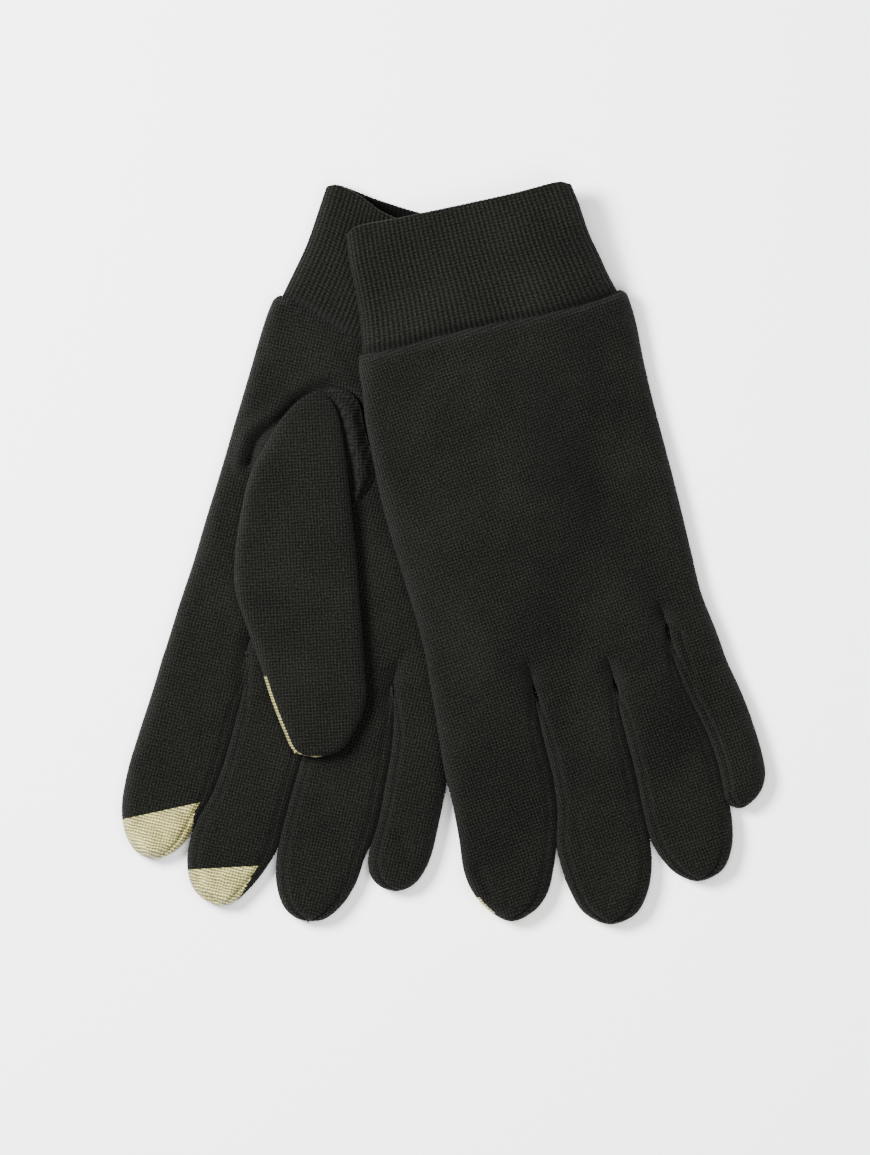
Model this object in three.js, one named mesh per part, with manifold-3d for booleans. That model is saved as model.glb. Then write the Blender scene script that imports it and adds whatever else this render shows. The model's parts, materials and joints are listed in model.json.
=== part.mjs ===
// A pair of knitted touchscreen gloves, lying crossed on a flat surface.
// The right glove lies underneath with its palm up and its thumb folded over the palm.
// The left glove lies on top with its back up, its thumb folded away under its palm.
// Millimetres, +Z up, cuffs toward +Y, fingertips toward -Y.
import * as THREE from 'three';
import Module from 'manifold-3d';
import { mergeVertices } from 'three/addons/utils/BufferGeometryUtils.js';

const wasm = await Module();
wasm.setup();
const { Manifold, Mesh: SolidMesh } = wasm;

// Driving dimensions.
const GLOVE_THICKNESS = 10; // a glove lying empty, outside to outside
const FABRIC = 1.3; // single knitted layer
const CUFF_FABRIC = 2.2; // rib cuff folded back on itself
const SEAM_GAP = 0.6; // between neighbouring sewn panels
const FOURCHETTE_WIDTH = 4.6; // strip between the back and the palm of a finger
const FOURCHETTE_END = 12; // how far short of the fingertip the strip stops
const RIGHT_THUMB_THICKNESS = 8;
const LEFT_THUMB_THICKNESS = 4.6; // pressed flat under the palm
const THUMB_CLEARANCE = 0.8; // between the folded thumb and its palm

// How the left glove rests on the right one.
const REST_HEIGHT = GLOVE_THICKNESS + 0.8;
const THUMB_LIFT = LEFT_THUMB_THICKNESS + THUMB_CLEARANCE + 0.6;
const DRAPE_LENGTH = 36; // over which the fabric comes down to the surface
const THUMB_DRAPE = { from: [-5, 50], to: [50, -45], radius: 20, length: 22 };

const HAND_SIDES = 24; // faces around a tube
const FINGER_SIDES = 16;
const THUMB_SIDES = 16;
const ROUND_SHARE = 0.35; // share of each quarter of a section given to its rounded edge
const CAVITY_REACH = 3; // how far a cavity runs past an open end
const DRAPE_EDGE_LENGTH = 16; // longest edge left in a draped panel

const materials = {
  knit: new THREE.MeshStandardMaterial({ color: '#2a2b26', roughness: 0.95, metalness: 0 }),
  rib: new THREE.MeshStandardMaterial({ color: '#272823', roughness: 0.97, metalness: 0 }),
  conductive: new THREE.MeshStandardMaterial({ color: '#cbc38c', roughness: 0.7, metalness: 0.1 }),
};

// Each row is one cross-section: left edge x, y, right edge x, y, thickness.
const rightHand = [
  [-56.5, 86.6, 31.8, 65.2, 10],
  [-60.8, 72.5, 30.0, 56.0, 10],
  [-66.5, 53.0, 26.5, 41.0, 10],
  [-73.9, 27.7, 21.5, 23.0, 10],
  [-81.0, 3.0, 16.2, 0.0, 10],
  [-87.0, -16.0, 12.2, -18.0, 10],
  [-90.0, -26.0, 10.0, -30.0, 10],
];

const rightCuff = [
  [-39.1, 122.0, 35.4, 103.3, 10],
  [-43.4, 109.0, 34.0, 90.5, 10],
  [-48.0, 97.0, 32.0, 78.5, 10],
  [-53.4, 86.4, 29.8, 66.2, 10],
];

const rightThumb = [
  [-44.5, 53.6, -38.0, 54.2, 2.9],
  [-55.0, 44.5, -35.6, 47.0, 6],
  [-61.0, 34.4, -33.6, 38.5, 8],
  [-66.4, 20.0, -31.0, 22.0, 8],
  [-68.8, 0.0, -29.0, 3.0, 8],
  [-69.3, -13.0, -27.8, -12.0, 8],
  [-65.5, -26.0, -26.9, -25.0, 8],
  [-61.0, -38.0, -26.0, -38.0, 8],
  [-57.0, -50.0, -26.0, -51.0, 8],
  [-53.3, -60.0, -29.6, -60.0, 7.4],
  [-49.3, -66.0, -34.2, -65.6, 5.6],
  [-44.5, -68.0, -38.8, -68.0, 4],
];

const rightFingers = {
  index: [
    [-84.5, -8.0, -58.0, -14.0, 10],
    [-91.5, -29.0, -65.0, -35.0, 10],
    [-96.3, -44.5, -68.4, -51.0, 10],
    [-101.3, -60.0, -73.0, -67.5, 10],
    [-105.2, -74.0, -76.6, -78.6, 10],
    [-107.0, -86.0, -81.7, -87.0, 10],
    [-105.8, -94.0, -85.4, -94.0, 8.6],
    [-102.4, -99.2, -89.8, -99.4, 6.2],
    [-99.0, -101.5, -93.5, -101.4, 4.2],
  ],
  middle: [
    [-66.0, -12.0, -36.0, -16.0, 10],
    [-64.6, -37.0, -41.9, -46.0, 10],
    [-68.3, -53.0, -45.7, -61.5, 10],
    [-72.1, -68.0, -50.0, -76.0, 10],
    [-76.8, -81.0, -53.1, -88.0, 10],
    [-82.8, -92.0, -56.0, -98.0, 10],
    [-84.8, -104.0, -59.6, -105.0, 9.6],
    [-83.4, -111.0, -65.0, -111.0, 8],
    [-79.8, -115.2, -69.0, -115.0, 5.6],
    [-77.0, -116.8, -71.5, -116.8, 4],
  ],
  ring: [
    [-44.0, -16.0, -13.0, -18.0, 10],
    [-41.0, -45.0, -16.6, -47.0, 10],
    [-44.6, -61.0, -17.4, -64.0, 10],
    [-48.6, -75.0, -19.8, -77.5, 10],
    [-52.2, -88.0, -22.5, -91.0, 10],
    [-54.5, -99.0, -26.6, -101.5, 10],
    [-55.0, -110.0, -29.8, -110.5, 9.6],
    [-53.0, -117.0, -34.0, -117.0, 8],
    [-49.2, -121.0, -39.2, -121.2, 5.4],
    [-46.6, -122.3, -42.0, -122.3, 4],
  ],
  pinky: [
    [-20.0, -18.0, 12.8, -14.0, 10],
    [-15.7, -45.0, 6.6, -45.0, 10],
    [-16.2, -61.0, 2.7, -62.0, 10],
    [-18.5, -76.0, 0.9, -76.5, 10],
    [-21.2, -90.0, -1.6, -90.0, 10],
    [-24.0, -101.0, -4.0, -100.0, 10],
    [-24.0, -106.8, -6.6, -106.2, 9],
    [-20.6, -110.8, -10.4, -110.6, 6.6],
    [-17.6, -112.2, -12.6, -112.2, 4.2],
  ],
};

const leftHand = [
  [-27.6, 67.7, 61.2, 88.4, 10],
  [-26.7, 57.8, 64.6, 74.0, 10],
  [-25.4, 42.0, 69.5, 52.0, 10],
  [-20.4, 17.7, 76.0, 27.0, 10],
  [-14.8, -3.0, 82.3, 2.0, 10],
  [-9.2, -20.0, 86.0, -12.0, 10],
  [-6.8, -28.0, 87.4, -16.0, 10],
];

const leftCuff = [
  [-32.5, 106.6, 43.1, 123.5, 10],
  [-31.0, 95.5, 48.6, 108.5, 10],
  [-29.0, 83.5, 53.4, 97.5, 10],
  [-27.2, 68.3, 57.3, 88.0, 10],
];

const leftFingers = {
  index: [
    [-10.6, -14.0, 33.0, -12.0, 10],
    [-4.2, -43.0, 29.4, -45.0, 10],
    [-1.6, -58.0, 32.4, -59.0, 10],
    [0.9, -73.0, 36.0, -74.5, 10],
    [3.5, -84.5, 37.6, -86.0, 10],
    [5.7, -96.0, 37.0, -97.0, 10],
    [7.4, -106.0, 36.4, -106.0, 9.4],
    [10.2, -113.0, 34.4, -113.3, 7.6],
    [14.6, -118.6, 30.6, -118.8, 5.6],
    [19.0, -121.8, 26.4, -122.0, 4.2],
  ],
  middle: [
    [24.0, -12.0, 60.0, -10.0, 10],
    [30.2, -45.0, 56.6, -44.0, 10],
    [33.2, -59.0, 59.7, -58.0, 10],
    [36.9, -74.5, 63.7, -74.0, 10],
    [38.6, -86.0, 66.3, -86.0, 10],
    [38.6, -97.0, 68.6, -97.0, 10],
    [40.2, -105.0, 69.1, -104.0, 9.6],
    [42.9, -112.5, 68.3, -112.0, 8.6],
    [46.8, -119.0, 65.0, -119.0, 6.4],
    [51.5, -122.8, 60.5, -123.2, 4.2],
  ],
  ring: [
    [50.0, -8.0, 78.0, 0.0, 10],
    [57.4, -43.0, 75.2, -32.0, 10],
    [60.5, -58.0, 82.9, -50.0, 10],
    [64.6, -74.0, 90.3, -66.0, 10],
    [67.4, -86.0, 92.8, -77.0, 10],
    [70.4, -95.0, 95.2, -88.0, 10],
    [74.2, -102.2, 95.6, -99.5, 9],
    [78.6, -106.8, 92.4, -105.6, 6.6],
    [82.0, -108.8, 88.6, -108.2, 4.2],
  ],
  pinky: [
    [66.0, 2.0, 81.6, 3.0, 10],
    [74.6, -26.0, 90.4, -25.0, 10],
    [76.6, -33.0, 93.4, -34.0, 10],
    [81.6, -46.0, 98.2, -47.0, 10],
    [86.8, -55.5, 101.2, -56.5, 10],
    [91.4, -66.0, 104.2, -66.0, 10],
    [93.8, -76.0, 106.8, -75.0, 9.4],
    [96.2, -82.2, 106.0, -81.5, 7.2],
    [98.8, -85.6, 103.4, -85.2, 4.2],
  ],
};

// The gusset is the lens of fabric sewn between the palm and the inner edge of the thumb.
const rightGusset = [
  [-37.0, 54.6], [-32.8, 54.0], [-28.7, 50.6], [-26.4, 44.4], [-24.9, 37.8], [-22.8, 28.5],
  [-25.0, 22.0], [-29.2, 17.0], [-30.6, 26.0], [-32.4, 36.0], [-34.8, 45.0],
];
const THUMB_HOLE = { centre: [-49, 24], radii: [11, 15] };

// The left thumb and gusset have the same pattern as the right ones, turned with their glove.
const LEFT_TURN = THREE.MathUtils.degToRad(28);
const LEFT_TURN_FROM = new THREE.Vector2(-50, 28);
const LEFT_TURN_TO = new THREE.Vector2(0, 28);

// Where each finger folds, and where its touch-sensitive tip starts, by distance from the tip.
const rightFolds = { index: 29, middle: 38, ring: 43, pinky: 35, thumb: 56 };
const leftFolds = { index: 46, middle: 45, ring: 38, pinky: 30, thumb: 56 };
const TOUCH_LENGTH = { index: 15, middle: 13, thumb: 26 };
const FOURCHETTE_SIDES = {
  index: ['right'],
  middle: ['left', 'right'],
  ring: ['left', 'right'],
  pinky: ['left'],
};

function turnedToLeft([x, y]) {
  const point = new THREE.Vector2(x, y).rotateAround(LEFT_TURN_FROM, LEFT_TURN);
  point.sub(LEFT_TURN_FROM).add(LEFT_TURN_TO);
  return [point.x, point.y];
}

function turnedSection([leftX, leftY, rightX, rightY, thickness]) {
  const flattened = thickness * LEFT_THUMB_THICKNESS / RIGHT_THUMB_THICKNESS;
  return [...turnedToLeft([leftX, leftY]), ...turnedToLeft([rightX, rightY]), Math.max(flattened, 2.8)];
}

// A tube keeps its two edges as curves whose z is the thickness there.
function makeTube(sections, { openStart = true, openEnd = false, height = 0 } = {}) {
  const edge = (column) => new THREE.CatmullRomCurve3(
    sections.map((section) => new THREE.Vector3(section[column], section[column + 1], section[4])),
    false,
    'centripetal',
  );
  const tube = { left: edge(0), right: edge(2), count: sections.length, openStart, openEnd, height };
  const tip = centreOf(tube, 1);
  const root = centreOf(tube, 1 / (tube.count - 1));
  tube.tip = tip;
  tube.direction = tip.clone().sub(root).normalize();
  return tube;
}

function centreOf(tube, along) {
  const left = tube.left.getPoint(along);
  const right = tube.right.getPoint(along);
  return new THREE.Vector2((left.x + right.x) / 2, (left.y + right.y) / 2);
}

// One point of a flattened ring with round edges; turn runs 0 to 4 from the right edge over the top.
function ringPoint(halfWidth, radius, turn) {
  const quarter = Math.floor(turn) % 4;
  const part = turn - Math.floor(turn);
  const fromEdge = quarter % 2 === 0 ? part : 1 - part;
  const side = [1, -1, -1, 1][quarter];
  const face = [1, 1, -1, -1][quarter];
  const angle = Math.min(fromEdge / ROUND_SHARE, 1) * Math.PI / 2;
  const flat = Math.max(fromEdge - ROUND_SHARE, 0) / (1 - ROUND_SHARE);
  return {
    across: side * ((halfWidth - radius) * (1 - flat) + radius * Math.cos(angle)),
    up: face * radius * Math.sin(angle),
  };
}

// A closed solid that fills the tube, its surface moved inward by depth.
function tubeSolid(tube, depth, sides) {
  const geometry = new THREE.CylinderGeometry(1, 1, 1, sides, tube.count - 1);
  const position = geometry.attributes.position;
  for (let i = 0; i < position.count; i += 1) {
    const along = 0.5 - position.getY(i);
    const radial = Math.hypot(position.getX(i), position.getZ(i));
    const angle = Math.atan2(-position.getX(i), position.getZ(i));
    const left = tube.left.getPoint(along);
    const right = tube.right.getPoint(along);
    const across = new THREE.Vector2(right.x - left.x, right.y - left.y);
    const width = across.length();
    across.normalize();
    const radius = left.z / 2;
    const turn = ((angle / (2 * Math.PI)) * 4 + 4) % 4;
    const ring = ringPoint(width / 2 - depth, radius - depth, Math.round(turn * 1000) / 1000 % 4);
    const centre = centreOf(tube, along);
    centre.addScaledVector(across, ring.across * radial);
    centre.addScaledVector(tube.direction, endShift(tube, along, depth));
    position.setXYZ(i, centre.x, centre.y, tube.height + ring.up * radial);
  }
  return solidOf(geometry);
}

// An open end lets the cavity run out; a closed one keeps the fabric's thickness.
function endShift(tube, along, depth) {
  if (depth === 0) return 0;
  if (along < 1e-6) return tube.openStart ? -CAVITY_REACH : depth;
  if (along > 1 - 1e-6) return tube.openEnd ? CAVITY_REACH : -depth;
  return 0;
}

function solidOf(geometry) {
  geometry.deleteAttribute('normal');
  geometry.deleteAttribute('uv');
  const merged = mergeVertices(geometry, 1e-4);
  return new Manifold(new SolidMesh({
    numProp: 3,
    vertProperties: new Float32Array(merged.attributes.position.array),
    triVerts: new Uint32Array(merged.index.array),
  }));
}

function shellOf(tube, fabric, sides) {
  return tubeSolid(tube, 0, sides).subtract(tubeSolid(tube, fabric, sides));
}

// The part of a solid past the line across the tube that lies fromTip short of its tip,
// starting a clearance away from that line.
function beyond(solid, tube, fromTip, clearance) {
  const { direction, tip } = tube;
  return solid.trimByPlane([direction.x, direction.y, 0], direction.dot(tip) - fromTip + clearance);
}

// The part on the other side of the same line.
function before(solid, tube, fromTip, clearance) {
  const { direction, tip } = tube;
  return solid.trimByPlane([-direction.x, -direction.y, 0], fromTip - direction.dot(tip) + clearance);
}

// A slab along one side of a finger, from near its middle line to well past its edge.
function sideSlab(tube, side, grow) {
  const sign = side === 'right' ? 1 : -1;
  const across = new THREE.Vector2(-tube.direction.y, tube.direction.x).multiplyScalar(sign);
  const slab = solidOf(new THREE.BoxGeometry(400, 400, FOURCHETTE_WIDTH + 2 * grow));
  const sided = slab.trimByPlane([across.x, across.y, 0], across.dot(tube.tip) + 2);
  return before(sided, tube, FOURCHETTE_END, -grow);
}

function plate(outline, thickness, bottom) {
  const shape = new THREE.Shape(outline.map(([x, y]) => new THREE.Vector2(x, y)));
  const geometry = new THREE.ExtrudeGeometry(shape, { depth: thickness, bevelEnabled: false });
  return solidOf(geometry.translate(0, 0, bottom));
}

// The outline moved outward by a clearance, each corner along the middle of its two edges.
function grown(outline, clearance) {
  const points = outline.map(([x, y]) => new THREE.Vector2(x, y));
  const sense = Math.sign(THREE.ShapeUtils.area(points));
  const outwardOf = (from, to) => new THREE.Vector2(to.y - from.y, from.x - to.x).normalize();
  return points.map((point, i) => {
    const previous = outwardOf(points.at(i - 1), point);
    const next = outwardOf(point, points[(i + 1) % points.length]);
    const corner = previous.clone().add(next).normalize();
    const reach = clearance / Math.max(corner.dot(next), 0.4);
    return [point.x + sense * reach * corner.x, point.y + sense * reach * corner.y];
  });
}

function ellipse({ centre, radii }) {
  const curve = new THREE.EllipseCurve(...centre, ...radii, 0, 2 * Math.PI, false, 0);
  return curve.getPoints(20).slice(0, -1).map(({ x, y }) => [x, y]);
}

// Palm side faces +Z here; the mid-plane of the hand is z = 0.
function fingerPieces(name, tube, foldAt) {
  const shell = beyond(shellOf(tube, FABRIC, FINGER_SIDES), tube, foldAt, SEAM_GAP / 2);
  const palmSide = shell.trimByPlane([0, 0, 1], tube.height + SEAM_GAP / 2);
  const backSide = shell.trimByPlane([0, 0, -1], SEAM_GAP / 2 - tube.height);
  const sides = FOURCHETTE_SIDES[name] ?? [];
  const cutouts = sides.map((side) => sideSlab(tube, side, SEAM_GAP));
  const strips = sides.map((side) => ({
    name: sides.length > 1 ? `${name}_${side}_fourchette` : `${name}_fourchette`,
    solid: shell.intersect(sideSlab(tube, side, 0)),
  }));
  const cut = (solid) => cutouts.reduce((result, slab) => result.subtract(slab), solid);
  const pieces = [{ name: `${name}_back`, solid: cut(backSide) }, ...strips];
  const touch = TOUCH_LENGTH[name];
  if (!touch) return [...pieces, { name: `${name}_palm_side`, solid: cut(palmSide) }];
  return [
    ...pieces,
    { name: `${name}_palm_side`, solid: before(cut(palmSide), tube, touch, SEAM_GAP / 2) },
    {
      name: `${name}_touch_tip`,
      solid: beyond(cut(palmSide), tube, touch, SEAM_GAP / 2),
      material: materials.conductive,
    },
  ];
}

function handPieces(handTube, fingerTubes, folds, holeOutline, gussetOutline) {
  const tubes = [handTube, ...Object.values(fingerTubes)];
  const sidesOf = (tube) => (tube === handTube ? HAND_SIDES : FINGER_SIDES);
  const outside = Manifold.union(tubes.map((tube) => tubeSolid(tube, 0, sidesOf(tube))));
  const cavity = Manifold.union(tubes.map((tube) => tubeSolid(tube, FABRIC, sidesOf(tube))));
  let shell = outside.subtract(cavity);
  for (const [name, tube] of Object.entries(fingerTubes)) {
    const finger = tubeSolid(tube, -0.25, FINGER_SIDES);
    shell = shell.subtract(beyond(finger, tube, folds[name], -SEAM_GAP / 2));
  }
  const back = shell.trimByPlane([0, 0, -1], SEAM_GAP / 2);
  const palm = shell.trimByPlane([0, 0, 1], SEAM_GAP / 2);
  const top = GLOVE_THICKNESS / 2;
  const gussetSlot = plate(grown(gussetOutline, SEAM_GAP), 4, top - 3);
  const hole = plate(holeOutline, 4, top - 3);
  return [
    { name: 'hand_back', solid: back },
    { name: 'hand_palm', solid: palm.subtract(hole).subtract(gussetSlot) },
    { name: 'thumb_gusset', solid: plate(gussetOutline, FABRIC, top - FABRIC) },
  ];
}

// The thumb lies folded on the palm, so its own palm side faces down onto it.
function thumbPieces(tube, foldAt, holeOutline) {
  const floor = tube.height - tube.left.getPoint(0.5).z / 2;
  const hole = plate(holeOutline, FABRIC + 1, floor - 0.5);
  const shell = shellOf(tube, FABRIC, THUMB_SIDES);
  const folded = beyond(shell, tube, foldAt, SEAM_GAP / 2);
  const palmSide = folded.trimByPlane([0, 0, -1], SEAM_GAP / 2 - tube.height);
  return [
    { name: 'thumb_base', solid: before(shell, tube, foldAt, SEAM_GAP / 2).subtract(hole) },
    { name: 'thumb_back', solid: folded.trimByPlane([0, 0, 1], tube.height + SEAM_GAP / 2) },
    { name: 'thumb_palm_side', solid: before(palmSide, tube, TOUCH_LENGTH.thumb, SEAM_GAP / 2) },
    {
      name: 'thumb_touch_tip',
      solid: beyond(palmSide, tube, TOUCH_LENGTH.thumb, SEAM_GAP / 2),
      material: materials.conductive,
    },
  ];
}

function glovePieces({ hand, cuff, fingers, thumb, folds, thumbThickness, hole, gusset }) {
  const fingerTubes = Object.fromEntries(
    Object.entries(fingers).map(([name, sections]) => [name, makeTube(sections)]),
  );
  const thumbHeight = GLOVE_THICKNESS / 2 + THUMB_CLEARANCE + thumbThickness / 2;
  const thumbTube = makeTube(thumb, { openStart: false, height: thumbHeight });
  const cuffTube = makeTube(cuff, { openEnd: true });
  return [
    { name: 'cuff', solid: shellOf(cuffTube, CUFF_FABRIC, HAND_SIDES), material: materials.rib },
    ...handPieces(makeTube(hand), fingerTubes, folds, hole, gusset),
    ...thumbPieces(thumbTube, folds.thumb, hole),
    ...Object.entries(fingerTubes).flatMap(([name, tube]) => fingerPieces(name, tube, folds[name])),
  ];
}

// Height of the left glove's underside above the surface.
function drapeHeight(x, y) {
  const fall = (value) => 1 - THREE.MathUtils.smoothstep(value, 0, 1);
  const edgeOfRightGlove = 6 + (y + 64) * 0.183;
  const fingerFade = THREE.MathUtils.lerp(1, 0.3, fall((y + 125) / 47));
  const overGlove = REST_HEIGHT * fall((x - edgeOfRightGlove) / DRAPE_LENGTH) * fingerFade;
  const from = new THREE.Vector3(...THUMB_DRAPE.from, 0);
  const to = new THREE.Vector3(...THUMB_DRAPE.to, 0);
  const point = new THREE.Vector3(x, y, 0);
  const nearest = new THREE.Vector3();
  new THREE.Line3(from, to).closestPointToPoint(point, true, nearest);
  const distance = point.distanceTo(nearest);
  return overGlove + THUMB_LIFT * fall((distance - THUMB_DRAPE.radius) / THUMB_DRAPE.length);
}

function drape(vertex) {
  vertex[2] += GLOVE_THICKNESS / 2 + drapeHeight(vertex[0], vertex[1]);
}

function meshOf(name, solid, material) {
  const { vertProperties, triVerts } = solid.getMesh();
  const geometry = new THREE.BufferGeometry();
  geometry.setAttribute('position', new THREE.BufferAttribute(vertProperties, 3));
  geometry.setIndex(new THREE.BufferAttribute(triVerts, 1));
  geometry.computeVertexNormals();
  const mesh = new THREE.Mesh(geometry, material);
  mesh.name = name;
  return mesh;
}

const rightPieces = glovePieces({
  hand: rightHand,
  cuff: rightCuff,
  fingers: rightFingers,
  thumb: rightThumb,
  folds: rightFolds,
  thumbThickness: RIGHT_THUMB_THICKNESS,
  hole: ellipse(THUMB_HOLE),
  gusset: rightGusset,
});

const leftPieces = glovePieces({
  hand: leftHand,
  cuff: leftCuff,
  fingers: leftFingers,
  thumb: rightThumb.map(turnedSection),
  folds: leftFolds,
  thumbThickness: LEFT_THUMB_THICKNESS,
  hole: ellipse(THUMB_HOLE).map(turnedToLeft),
  gusset: rightGusset.map(turnedToLeft),
});

const rightGlove = new THREE.Group();
for (const { name, solid, material } of rightPieces) {
  const raised = solid.translate([0, 0, GLOVE_THICKNESS / 2]);
  rightGlove.add(meshOf(`right_${name}`, raised, material ?? materials.knit));
}

const leftGlove = new THREE.Group();
for (const { name, solid, material } of leftPieces) {
  const draped = solid.mirror([0, 0, 1]).refineToLength(DRAPE_EDGE_LENGTH).warp(drape);
  leftGlove.add(meshOf(`left_${name}`, draped, material ?? materials.knit));
}

const group = new THREE.Group();
group.add(rightGlove, leftGlove);

// The origin is the centre of the bounding box, on the surface.
const box = new THREE.Box3().setFromObject(group);
const centre = box.getCenter(new THREE.Vector3());
group.position.set(-centre.x, -centre.y, -box.min.z);

export default group;
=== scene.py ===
"""A pair of knitted touchscreen gloves lying crossed on a pale surface, seen from straight above.

Each glove is drawn flat, in millimetres, with its palm side up: four strips of fabric run from the
wrist to the fingertips, the cuff is a ribbed tube folded back on itself, and the thumb is a tube
folded over the palm. The left glove is then turned over and draped across the right one.
"""
import json
import math

import bpy
import numpy as np
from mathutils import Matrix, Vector


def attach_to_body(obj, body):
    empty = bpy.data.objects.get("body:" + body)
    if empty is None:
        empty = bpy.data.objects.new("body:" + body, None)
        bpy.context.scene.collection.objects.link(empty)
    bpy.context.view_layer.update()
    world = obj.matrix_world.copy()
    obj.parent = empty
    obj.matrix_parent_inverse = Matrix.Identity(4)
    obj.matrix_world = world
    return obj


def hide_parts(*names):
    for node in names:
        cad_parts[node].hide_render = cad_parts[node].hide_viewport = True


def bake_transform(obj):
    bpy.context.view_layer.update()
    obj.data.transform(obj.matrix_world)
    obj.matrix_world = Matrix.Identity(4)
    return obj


MM = 0.001
FRAME_SHIFT = np.array([0.1, -0.15])  # the frame's origin from the middle of the drawn outlines

# Thicknesses, in millimetres.
GLOVE = 10.0
FABRIC = 0.9
CUFF_LAYER = 2.0
RIGHT_THUMB = 8.0
LEFT_THUMB = 4.6
THUMB_CLEARANCE = 0.8

# Grid of each strip: columns in each side zone and in the middle, and rows in each stretch.
SIDE_COLUMNS = 8
MIDDLE_COLUMNS = 26
HAND_ROWS = 110
ROOT_ROWS = 44
FOLD_ROWS = 46
TIP_ROWS = 26
FOURCHETTE_TIP_ROWS = {"index": 12, "middle": 21}  # rows of the tip that a fourchette runs beside
THUMB_ROWS = (86, 40, 44)  # up to the fold, up to the conductive patch, and along the patch
THUMB_WRAP_COLUMNS = 4  # of the conductive patch, round the thumb's edge and its tip
THUMB_WRAP_ROWS = 3
SLIVER_ROWS = slice(7, 17)  # rows of the left index tip where gold shows past the edge
SLIVER_COLUMNS = 4
GUSSET_ROWS = 91
GUSSET_COLUMNS = 25
CUFF_EDGE_COLUMNS = 20
CUFF_MIDDLE_COLUMNS = 320
CUFF_ROWS = 42
CUFF_ROLL_ROWS = 10
DISTANCE_SAMPLES = 150  # of a curve, when the distance to it is measured

# Seams.
FOURCHETTE_DEPTH = 3.2  # from the edge of a finger to its fourchette seam
EDGE_SIDE_ZONE = 4.0  # widths of the zones of close columns beside a strip's edges
HAND_SIDE_ZONE = 5.0
LEAST_SIDE_ZONE = 0.5
SEAM_WIDTH = 0.6
SEAM_DEPTH = 0.9
CROTCH_VALLEY = 9.0
INNER_SWELL = 0.6  # how far the fingers press past their drawn edges
OUTER_SWELL = 0.3

# Cuff.
CUFF_DEPTH = 42.0
CUFF_TUCK = 3.0  # how far the cuff runs on inside the hand

# Knit.
KNIT_PITCH = 1.07
TOUCH_PITCH = 1.0
RIB_PITCH = 1.62
RIB_HEIGHT = 0.3
RIB_VALLEY = 0.17  # half width of the valley between two ribs, as a share of the pitch
KNIT_RELIEF = 0.24
FINE_RELIEF = 0.14

# Dimple at each finger root.
DIMPLE_DEPTH = 1.5
DIMPLE_RADIUS = 3.4
DIMPLE_SHIFT = 2.4  # from the crotch toward the wrist

# Colours, as linear red, green and blue.
GLOVE_DARK = (0.0004, 0.0004, 0.0003)
GLOVE_LIGHT = (0.0099, 0.0101, 0.0076)
TOUCH_DARK = (0.05, 0.043, 0.010)
TOUCH_LIGHT = (0.50, 0.46, 0.165)
FLOOR_COLOUR = (0.9, 0.9, 0.9)

# Surroundings, in metres and watts.
FLOOR_SIZE = 3
FLOOR_LEVEL = -0.0005
WORLD_STRENGTH = 0.22
KEY_LIGHT = {"place": (-0.6, 0.3, 0.95), "size": 0.4, "power": 62}
FILL_LIGHT = {"place": (0.2, -0.1, 1.3), "size": 0.8, "power": 30}
VIEW_DISTANCE = 1.2
VIEW_CENTRE = (-0.00257, -0.00834)
VIEW_HEIGHT = 0.386

FINGERS = ("index", "middle", "ring", "pinky")

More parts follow.
